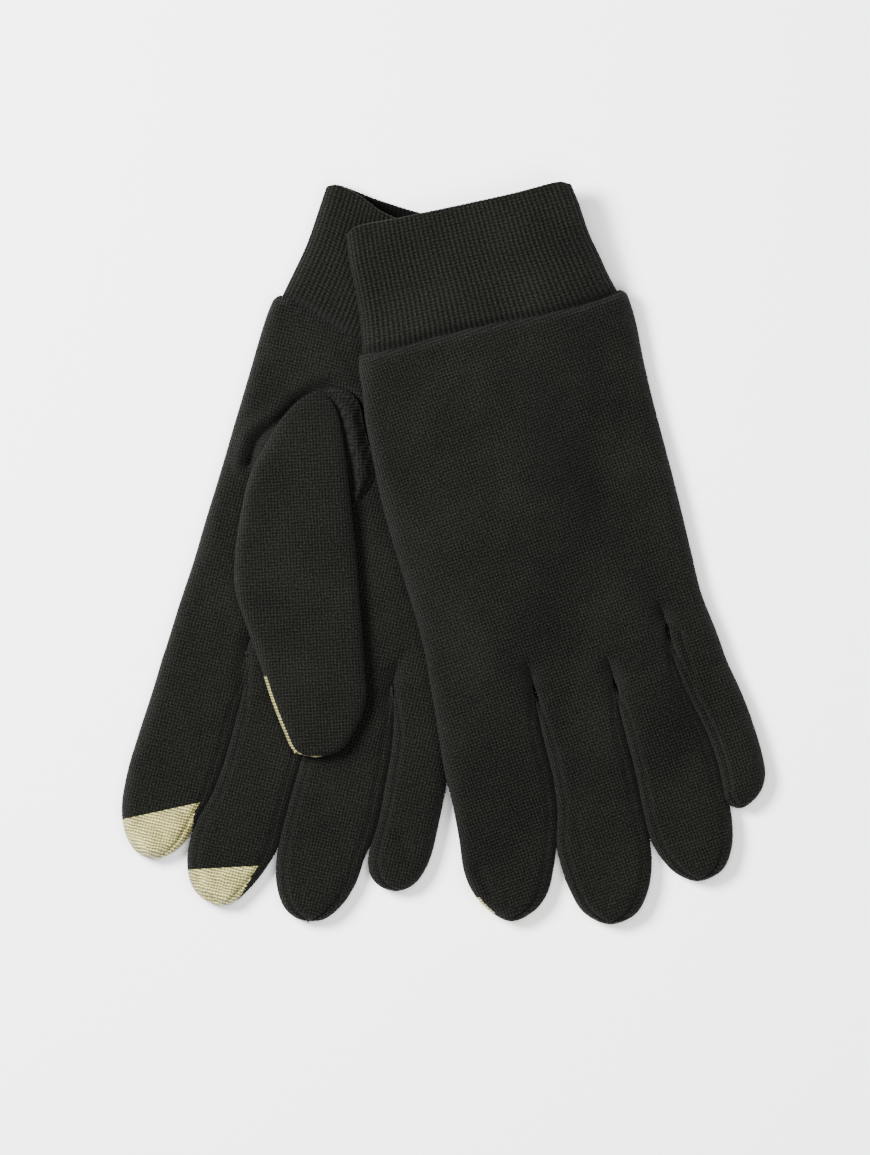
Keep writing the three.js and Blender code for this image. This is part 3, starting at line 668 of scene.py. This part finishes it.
def thumb_labels(face, rows, cols):
    """The piece that each face of the thumb belongs to; the patch wraps round its left edge and tip."""
    labels = np.full((rows, cols), "thumb_base", dtype=object)
    fold, _, patch = THUMB_ROWS
    labels[fold:] = "thumb_back" if face == 1 else "thumb_palm_side"
    if face == 1:
        labels[-patch:, :THUMB_WRAP_COLUMNS] = "thumb_touch_tip"
        labels[-THUMB_WRAP_ROWS:] = "thumb_touch_tip"
    else:
        labels[-patch:] = "thumb_touch_tip"
    return labels


def add_thumb(glove):
    """The thumb, a tube that rises from its root and lies folded over the palm."""
    radius = glove.thumb_thickness / 2
    points, near, from_root = thumb_grid(glove.joints, radius)
    rise = 0.45 + 0.55 * smoothstep(from_root / 30)
    full = round_edge(near, radius) * (0.86 + 0.14 * round_edge(near, 16)) * rise
    x, y = points[..., 0], points[..., 1]
    relief = 0.3 * waves(x, y, 31, (14, 40)) + 0.12 * waves(x, y, 32, (5, 12))
    middle = GLOVE / 2 + THUMB_CLEARANCE + radius * rise
    placed_points = points if glove.side == "right" else turned_to_left(points)
    for face in (1, -1):
        z = full * radius * face + (full * relief if face == 1 else 0)
        knit = knit_coordinates(points, z, THUMB_AXIS)
        labels = thumb_labels(face, points.shape[0] - 1, points.shape[1] - 1)
        glove.add(np.dstack([placed_points, z + middle]), knit, labels, up=face == 1)


def add_gusset(glove):
    """The lens of fabric between the palm and the inner edge of the thumb."""
    outer, inner = spline(GUSSET_OUTER, GUSSET_ROWS), spline(GUSSET_INNER, GUSSET_ROWS)
    across = np.linspace(0, 1, GUSSET_COLUMNS)[None]
    points = outer[:, None] * (1 - across[..., None]) + inner[:, None] * across[..., None]
    ridge = smoothstep(across / 0.5) * (1 - smoothstep((across - 0.5) / 0.5))
    ends = np.sin(np.linspace(0, math.pi, GUSSET_ROWS)) ** 0.5
    z = GLOVE / 2 + 0.3 + glove.thumb_thickness * 0.6 * ends[:, None] * ridge
    knit = knit_coordinates(points, z, THUMB_AXIS)
    placed_points = points if glove.side == "right" else turned_to_left(points)
    labels = np.full((GUSSET_ROWS - 1, GUSSET_COLUMNS - 1), "thumb_gusset", dtype=object)
    glove.add(np.dstack([placed_points, z]), knit, labels, up=False)


# ---------------------------------------------------------------- the ribbed cuff

def extended(curve, length, count):
    """The curve run on straight past its end, sampled evenly."""
    direction = curve[-1] - curve[-20]
    end = curve[-1] + direction / np.linalg.norm(direction) * length
    return resample(np.vstack([curve, end]), count)


def cuff_plan(glove, hem):
    """One side of the cuff seen from above, the tilt round its edges, and distances from the wrist."""
    left = extended(spline(glove.spec["cuff_left"]), CUFF_TUCK, CUFF_ROWS + 1)
    right = extended(spline(glove.spec["cuff_right"]), CUFF_TUCK, CUFF_ROWS + 1)
    wrist = glove.wrist
    radius = GLOVE / 2
    width = np.linalg.norm(right - left, axis=1)
    angle = np.linspace(0, math.pi / 2, CUFF_EDGE_COLUMNS + 1)
    edge = radius * (1 - np.cos(angle))
    middle = np.linspace(0, 1, CUFF_MIDDLE_COLUMNS + 1)[1:-1]
    across = np.hstack([
        np.repeat(edge[None], len(width), 0),
        radius + (width[:, None] - 2 * radius) * middle,
        width[:, None] - edge[::-1],
    ])
    part = across / width[:, None]
    first, last = CUFF_LAYER / 2 / CUFF_DEPTH, 1 + CUFF_TUCK / CUFF_DEPTH
    down = np.linspace(first, last, CUFF_ROWS + 1)[:, None]
    points = along(hem, part) * (1 - down[..., None]) + along(wrist, part) * down[..., None]
    left_shift = left - (hem[0] * (1 - down) + wrist[0] * down)
    right_shift = right - (hem[-1] * (1 - down) + wrist[-1] * down)
    points += left_shift[:, None] * (1 - part[..., None]) + right_shift[:, None] * part[..., None]
    flat_part = np.full(CUFF_MIDDLE_COLUMNS - 1, math.pi / 2)
    tilt = np.concatenate([angle, flat_part, math.pi - angle[::-1]])
    return points, np.repeat(tilt[None], len(width), 0), CUFF_DEPTH * (1 - down)


def cuff_side(glove, face, hem):
    """Surface of one side of the cuff before its ribs, and the directions out of it."""
    points, tilt, from_wrist = cuff_plan(glove, hem)
    outward = points[:, -1] - points[:, 0]
    outward = outward / np.linalg.norm(outward, axis=1)[:, None]
    side = -np.cos(tilt)[..., None] * outward[:, None]
    waist = 1 - 0.7 * np.exp(-(np.maximum(from_wrist, 0) / 1.2) ** 2)
    waist += 0.04 * np.minimum(from_wrist, 0)
    swell = 0.88 + 0.12 * np.sin(tilt)
    relief = 0.35 * waves(points[..., 0], points[..., 1], 51 + face, (18, 50))
    height = (GLOVE / 2 * waist * swell + relief) * np.sin(tilt)
    if face != glove.upper:
        height = np.minimum(height, GLOVE / 2)
    return np.dstack([points, height * face]), np.dstack([side, np.sin(tilt) * face])


def ribs_round(line):
    """Distance round the cuff in whole ribs, and the depth of the valleys between them."""
    arc = np.r_[0, np.cumsum(np.linalg.norm(np.diff(line, axis=0), axis=1))]
    ribs = arc / arc[-1] * round(arc[-1] / RIB_PITCH)
    valley = np.exp(-((ribs % 1 - 0.5) / RIB_VALLEY) ** 2)
    return ribs * RIB_PITCH, RIB_HEIGHT * valley


def hem_roll(ring, normal, depth):
    """Rows that turn the fabric over at the hem, from the outer layer to the inner one."""
    half_layer = CUFF_LAYER / 2
    hem_out = ring[0] - ring[2]
    hem_out[:, 2] = 0
    hem_out /= np.linalg.norm(hem_out, axis=1)[:, None]
    depth = depth[:, None]
    return np.stack([
        ring[0] + hem_out * (half_layer - 0.5 * depth) * math.sin(angle)
        - normal[0] * (half_layer * (1 - math.cos(angle)) + depth * math.cos(angle))
        for angle in np.linspace(0, math.pi, CUFF_ROLL_ROWS + 2)[1:-1]
    ])


def add_cuff(glove):
    """A tube of ribbed fabric folded back on itself at the hem."""
    near, far = spline(glove.spec["hem_near"]), spline(glove.spec["hem_far"])
    palm_hem, back_hem = (near, far) if glove.side == "right" else (far, near)
    palm, palm_normal = cuff_side(glove, 1, palm_hem)
    back, back_normal = cuff_side(glove, -1, back_hem)
    ring = np.concatenate([palm, back[:, ::-1][:, 1:]], axis=1)
    normal = np.concatenate([palm_normal, back_normal[:, ::-1][:, 1:]], axis=1)
    u, depth = ribs_round(ring[CUFF_ROWS // 2])
    outer = ring - normal * depth[None, :, None]
    inner = ring - normal * (CUFF_LAYER - depth[None, :, None])
    layers = np.concatenate([outer[::-1], hem_roll(ring, normal, depth), inner])
    travel = np.linalg.norm(np.diff(layers, axis=0), axis=2).mean(axis=1)
    v = np.r_[0, np.cumsum(travel)]
    knit = np.stack(np.broadcast_arrays(u[None, :], v[:, None]), axis=2)
    labels = np.full((len(layers) - 1, layers.shape[1] - 1), "cuff", dtype=object)
    glove.add(layers, knit, labels, up=False)


# ---------------------------------------------------------------- from grids to pieces

def placed(glove, vertices):
    """From the flat drawing to where the glove lies, in metres; the left glove is turned over."""
    v = vertices.copy()
    if glove.side == "left":
        v[:, 2] = -v[:, 2] + drape_height(v[:, 0], v[:, 1])
    v[:, 2] += GLOVE / 2
    v[:, :2] += FRAME_SHIFT
    return v * MM


def merged(vertices):
    """Index of the first vertex at each place, for every vertex."""
    key = np.round(vertices / 2e-6).astype(np.int64)
    _, first, inverse = np.unique(key, axis=0, return_index=True, return_inverse=True)
    return first[inverse.ravel()]


def vertex_normals(vertices, faces):
    """Average direction of the faces round each vertex."""
    a, b, c, d = (vertices[faces[:, i]] for i in range(4))
    face = np.cross(c - a, d - b)
    normals = np.zeros_like(vertices)
    for i in range(4):
        np.add.at(normals, faces[:, i], face)
    return normals / np.maximum(np.linalg.norm(normals, axis=1), 1e-20)[:, None]


def build_pieces(glove, materials):
    """One object for each piece, with normals that run on smoothly from piece to piece."""
    vertices = placed(glove, np.vstack(glove.vertices))
    knit = np.vstack(glove.knit)
    faces = np.vstack(glove.faces)
    labels = np.concatenate([label.ravel() for label in glove.labels])
    if glove.side == "left":
        faces = faces[:, ::-1]
    same = merged(vertices)
    normals = vertex_normals(vertices, same[faces])[same]
    pieces = {}
    for label in sorted(set(labels)):
        own = faces[labels == label]
        pieces[label] = make_piece(f"{glove.side}_{label}", vertices, normals, knit, same, own, materials)
    return pieces


def make_piece(node, vertices, normals, knit, same, faces, materials):
    """One panel with its inner face and its rim, as its own object."""
    corners = same[faces]
    used, local = np.unique(corners, return_inverse=True)
    local = local.reshape(corners.shape)
    polygons, sources = [], []
    for face, source in zip(local.tolist(), faces.tolist()):
        kept = {corner: vertex for corner, vertex in zip(face, source)}
        if len(kept) > 2:
            polygons.append(list(kept))
            sources.append(list(kept.values()))
    count = len(used)
    all_vertices = vertices[used]
    all_normals = normals[used]
    if not node.endswith("cuff"):
        rim = rim_edges(polygons)
        source_of = {c: v for polygon, source in zip(polygons, sources) for c, v in zip(polygon, source)}
        all_vertices = np.vstack([all_vertices, all_vertices - all_normals * FABRIC * MM])
        all_normals = np.vstack([all_normals, -all_normals])
        inner = [[corner + count for corner in reversed(polygon)] for polygon in polygons]
        sides = [[b, a, a + count, b + count] for a, b in rim]
        polygons = polygons + inner + sides
        side_sources = [[source_of[b], source_of[a], source_of[a], source_of[b]] for a, b in rim]
        sources = sources + [source[::-1] for source in sources] + side_sources
    mesh = bpy.data.meshes.new(f"{node}_fabric")
    mesh.from_pydata(all_vertices.tolist(), [], polygons)
    layer = mesh.uv_layers.new(name="knit")
    loops = np.array([vertex for source in sources for vertex in source])
    layer.data.foreach_set("uv", knit[loops].astype(np.float32).ravel())
    mesh.polygons.foreach_set("use_smooth", np.ones(len(mesh.polygons), dtype=bool))
    mesh.normals_split_custom_set_from_vertices(all_normals.tolist())
    mesh.materials.append(materials[slot_of(node)])
    obj = bpy.data.objects.new(f"{node}_fabric", mesh)
    bpy.context.scene.collection.objects.link(obj)
    return obj


def rim_edges(polygons):
    """Directed edges that only one polygon has."""
    edges = {(a, b) for polygon in polygons for a, b in zip(polygon, polygon[1:] + polygon[:1])}
    return [(a, b) for a, b in edges if (b, a) not in edges]


def slot_of(node):
    """Name of the material slot of a piece."""
    if node.endswith("touch_tip"):
        return "conductive_knit"
    return "rib_knit" if node.endswith("cuff") else "glove_knit"


def body_of(node):
    """Names of the body that a piece belongs to and of the glove body, from the node's name."""
    side, part = node.split("_", 1)
    finger = part.split("_")[0]
    glove_body = f"{side}_glove"
    if finger in FINGERS:
        return f"{side}_{finger}_finger", glove_body
    if side == "right" and part in ("thumb_back", "thumb_palm_side", "thumb_touch_tip"):
        return "right_thumb_end", glove_body
    return glove_body, glove_body


def attach(obj, node):
    """Fixed pieces ride their glove; pieces past a fold keep their place, with their transform baked into
    the mesh.
    """
    body, glove_body = body_of(node)
    if body == glove_body:
        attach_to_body(obj, body)
    else:
        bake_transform(obj)
    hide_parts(node)


# ---------------------------------------------------------------- materials

class Nodes:
    """Short way to write a material's arithmetic."""

    def __init__(self, name):
        self.material = bpy.data.materials.new(name)
        self.material.use_nodes = True
        self.tree = self.material.node_tree
        self.shader = self.tree.nodes["Principled BSDF"]
        uv = self.tree.nodes.new("ShaderNodeUVMap")
        uv.uv_map = "knit"
        self.coordinates = uv.outputs["UV"]
        split = self.tree.nodes.new("ShaderNodeSeparateXYZ")
        self.tree.links.new(self.coordinates, split.inputs[0])
        self.u, self.v = split.outputs["X"], split.outputs["Y"]

    def put(self, socket, value):
        """Link or set an input."""
        if isinstance(value, bpy.types.NodeSocket):
            self.tree.links.new(value, socket)
        else:
            socket.default_value = value

    def math(self, operation, a, b=0.0):
        """Result of one sum of two sockets or numbers."""
        node = self.tree.nodes.new("ShaderNodeMath")
        node.operation = operation
        self.put(node.inputs[0], a)
        self.put(node.inputs[1], b)
        return node.outputs[0]

    def wave(self, coordinate, pitch, shift=0.0):
        """Sine of a coordinate, between -1 and 1, one period each pitch."""
        turned = self.math("MULTIPLY", coordinate, 2 * math.pi / pitch)
        return self.math("SINE", self.math("ADD", turned, shift))

    def wobbled(self, coordinate):
        """The coordinate with the small unevenness of hand-guided knitting."""
        return self.math("ADD", coordinate, self.math("MULTIPLY", self.noise(3.0, 2.0), 0.9))

    def noise(self, size, detail=2.0):
        """Noise between 0 and 1 whose blotches are about that many millimetres across."""
        node = self.tree.nodes.new("ShaderNodeTexNoise")
        self.put(node.inputs["Vector"], self.coordinates)
        self.put(node.inputs["Scale"], 1 / size)
        self.put(node.inputs["Detail"], detail)
        return node.outputs["Fac"]

    def ramp(self, value, low, high, dark, light):
        """Colour from dark to light as value goes from low to high."""
        spread = self.tree.nodes.new("ShaderNodeMapRange")
        self.put(spread.inputs["Value"], value)
        spread.inputs["From Min"].default_value = low
        spread.inputs["From Max"].default_value = high
        mix = self.tree.nodes.new("ShaderNodeMix")
        mix.data_type = "RGBA"
        self.put(mix.inputs["Factor"], spread.outputs["Result"])
        mix.inputs["A"].default_value = (*dark, 1)
        mix.inputs["B"].default_value = (*light, 1)
        return mix.outputs["Result"]

    def finish(self, colour, height, depth):
        """The material with its colour and relief; height is about -1 to 1, depth in millimetres."""
        bump = self.tree.nodes.new("ShaderNodeBump")
        bump.inputs["Strength"].default_value = 1.0
        bump.inputs["Distance"].default_value = depth * MM
        self.put(bump.inputs["Height"], height)
        self.put(self.shader.inputs["Normal"], bump.outputs["Normal"])
        self.put(self.shader.inputs["Base Color"], colour)
        return self.material


def dark_yarn(n, stitches):
    """Colour and sheen of the dark yarn; stitches is the pattern's height, between about -1 and 1."""
    specks = n.math("SUBTRACT", n.noise(0.42, 0.0), 0.5)
    fibres = n.math("SUBTRACT", n.noise(0.9, 3.0), 0.5)
    patches = n.math("SUBTRACT", n.noise(22.0, 3.0), 0.5)
    tone = n.math("ADD", stitches, n.math("MULTIPLY", specks, 4.2))
    tone = n.math("ADD", tone, n.math("MULTIPLY", fibres, 3.0))
    tone = n.math("ADD", tone, n.math("MULTIPLY", patches, 1.4))
    colour = n.ramp(tone, -0.9, 2.1, GLOVE_DARK, GLOVE_LIGHT)
    n.shader.inputs["Roughness"].default_value = 0.92
    n.shader.inputs["Specular IOR Level"].default_value = 0.06
    n.shader.inputs["Sheen Weight"].default_value = 0.015
    n.shader.inputs["Sheen Roughness"].default_value = 0.5
    return colour, specks


def glove_knit():
    """Dark check knit: small raised stitches in a square grid, with specks, fibres and soft patches."""
    n = Nodes("glove_knit")
    u = n.wobbled(n.u)
    v = n.wobbled(n.v)
    stitches = n.math("ADD", n.wave(u, KNIT_PITCH), n.wave(v, KNIT_PITCH))
    stitches = n.math("MULTIPLY", stitches, 0.55)
    colour, specks = dark_yarn(n, stitches)
    return n.finish(colour, n.math("ADD", stitches, specks), KNIT_RELIEF)


def rib_knit():
    """Dark ribbed knit: darker between the ribs, with painted shade darkening the cuff's inner layer."""
    n = Nodes("rib_knit")
    rows = n.math("MULTIPLY", n.wave(n.wobbled(n.v), KNIT_PITCH), 0.5)
    ribs = n.math("MULTIPLY", n.wave(n.u, RIB_PITCH, math.pi / 2), 0.6)
    stitches = n.math("ADD", rows, ribs)
    # Painted shade: past the hem the colour grows darker, standing in for the shade inside the cuff's
    # mouth.
    past_hem = n.math("SUBTRACT", n.v, CUFF_DEPTH + CUFF_LAYER + CUFF_TUCK)
    inner_layer_painted_shade = n.math("MINIMUM", n.math("MAXIMUM", past_hem, 0.0), 2.6)
    colour, specks = dark_yarn(n, n.math("SUBTRACT", stitches, inner_layer_painted_shade))
    return n.finish(colour, n.math("ADD", stitches, specks), FINE_RELIEF)


def touch_knit():
    """Pale gold conductive knit: fine ridges across the fingertip, with a slight metallic sheen."""
    n = Nodes("conductive_knit")
    ridges = n.wave(n.wobbled(n.v), TOUCH_PITCH)
    stitches = n.wave(n.u, TOUCH_PITCH)
    fibres = n.math("SUBTRACT", n.noise(0.5, 1.0), 0.5)
    patches = n.math("SUBTRACT", n.noise(6.0, 3.0), 0.5)
    tone = n.math("ADD", ridges, n.math("MULTIPLY", stitches, 0.3))
    tone = n.math("ADD", tone, n.math("MULTIPLY", fibres, 3.5))
    tone = n.math("ADD", tone, n.math("MULTIPLY", patches, 2.4))
    colour = n.ramp(tone, -1.1, 1.8, TOUCH_DARK, TOUCH_LIGHT)
    n.shader.inputs["Roughness"].default_value = 0.55
    n.shader.inputs["Metallic"].default_value = 0.2
    n.shader.inputs["Sheen Weight"].default_value = 0.05
    height = n.math("ADD", ridges, n.math("MULTIPLY", stitches, 0.4))
    return n.finish(colour, height, FINE_RELIEF)


# ---------------------------------------------------------------- surroundings

def plain_material(name, colour, roughness):
    """A material with one colour."""
    material = bpy.data.materials.new(name)
    material.use_nodes = True
    shader = material.node_tree.nodes["Principled BSDF"]
    shader.inputs["Base Color"].default_value = (*colour, 1)
    shader.inputs["Roughness"].default_value = roughness
    return material


def add_floor():
    """The pale surface that the gloves lie on."""
    bpy.ops.mesh.primitive_plane_add(size=FLOOR_SIZE, location=(0, 0, FLOOR_LEVEL))
    floor = bpy.context.object
    floor.name = "pale_surface"
    floor.data.materials.append(plain_material("pale_surface", FLOOR_COLOUR, 0.9))


def add_light(name, place, size, power):
    """A soft square light that faces the middle of the gloves."""
    data = bpy.data.lights.new(name, "AREA")
    data.shape = "SQUARE"
    data.size = size
    data.energy = power
    light = bpy.data.objects.new(name, data)
    light.location = place
    light.rotation_euler = (-Vector(place)).to_track_quat("-Z", "Y").to_euler()
    bpy.context.scene.collection.objects.link(light)


def add_world(colour, strength):
    """Even light from all sides."""
    world = bpy.data.worlds.new("pale_room")
    world.use_nodes = True
    background = world.node_tree.nodes["Background"]
    background.inputs["Color"].default_value = (*colour, 1)
    background.inputs["Strength"].default_value = strength
    bpy.context.scene.world = world


def add_camera():
    """Straight above, with the cuffs at the top of the picture."""
    data = bpy.data.cameras.new("overhead")
    data.type = "ORTHO"
    data.ortho_scale = VIEW_HEIGHT
    data.clip_end = 5
    camera = bpy.data.objects.new("overhead", data)
    camera.location = (*VIEW_CENTRE, VIEW_DISTANCE)
    bpy.context.scene.collection.objects.link(camera)
    bpy.context.scene.camera = camera


# ---------------------------------------------------------------- the scene

def build_glove(side, spec, joints, materials):
    """All the pieces of one glove; those of the glove body are attached to it."""
    glove = Glove(side, spec, joints)
    add_strips(glove)
    add_thumb(glove)
    add_gusset(glove)
    add_cuff(glove)
    for label, obj in build_pieces(glove, materials).items():
        attach(obj, f"{side}_{label}")


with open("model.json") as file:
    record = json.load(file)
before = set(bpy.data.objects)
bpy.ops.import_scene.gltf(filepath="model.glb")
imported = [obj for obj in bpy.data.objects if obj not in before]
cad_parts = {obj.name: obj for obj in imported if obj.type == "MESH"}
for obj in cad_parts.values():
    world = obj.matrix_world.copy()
    obj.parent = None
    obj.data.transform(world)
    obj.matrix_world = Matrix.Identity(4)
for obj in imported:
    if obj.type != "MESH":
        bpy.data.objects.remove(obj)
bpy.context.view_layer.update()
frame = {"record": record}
all_joints = {joint["name"]: joint for joint in frame["record"]["behaviour"]["joints"]}
fabrics = {"glove_knit": glove_knit(), "rib_knit": rib_knit(), "conductive_knit": touch_knit()}
build_glove("right", RIGHT, all_joints, fabrics)
build_glove("left", LEFT, all_joints, fabrics)

add_floor()
add_world((1.0, 1.0, 1.0), WORLD_STRENGTH)
add_light("key", **KEY_LIGHT)
add_light("fill", **FILL_LIGHT)
add_camera()
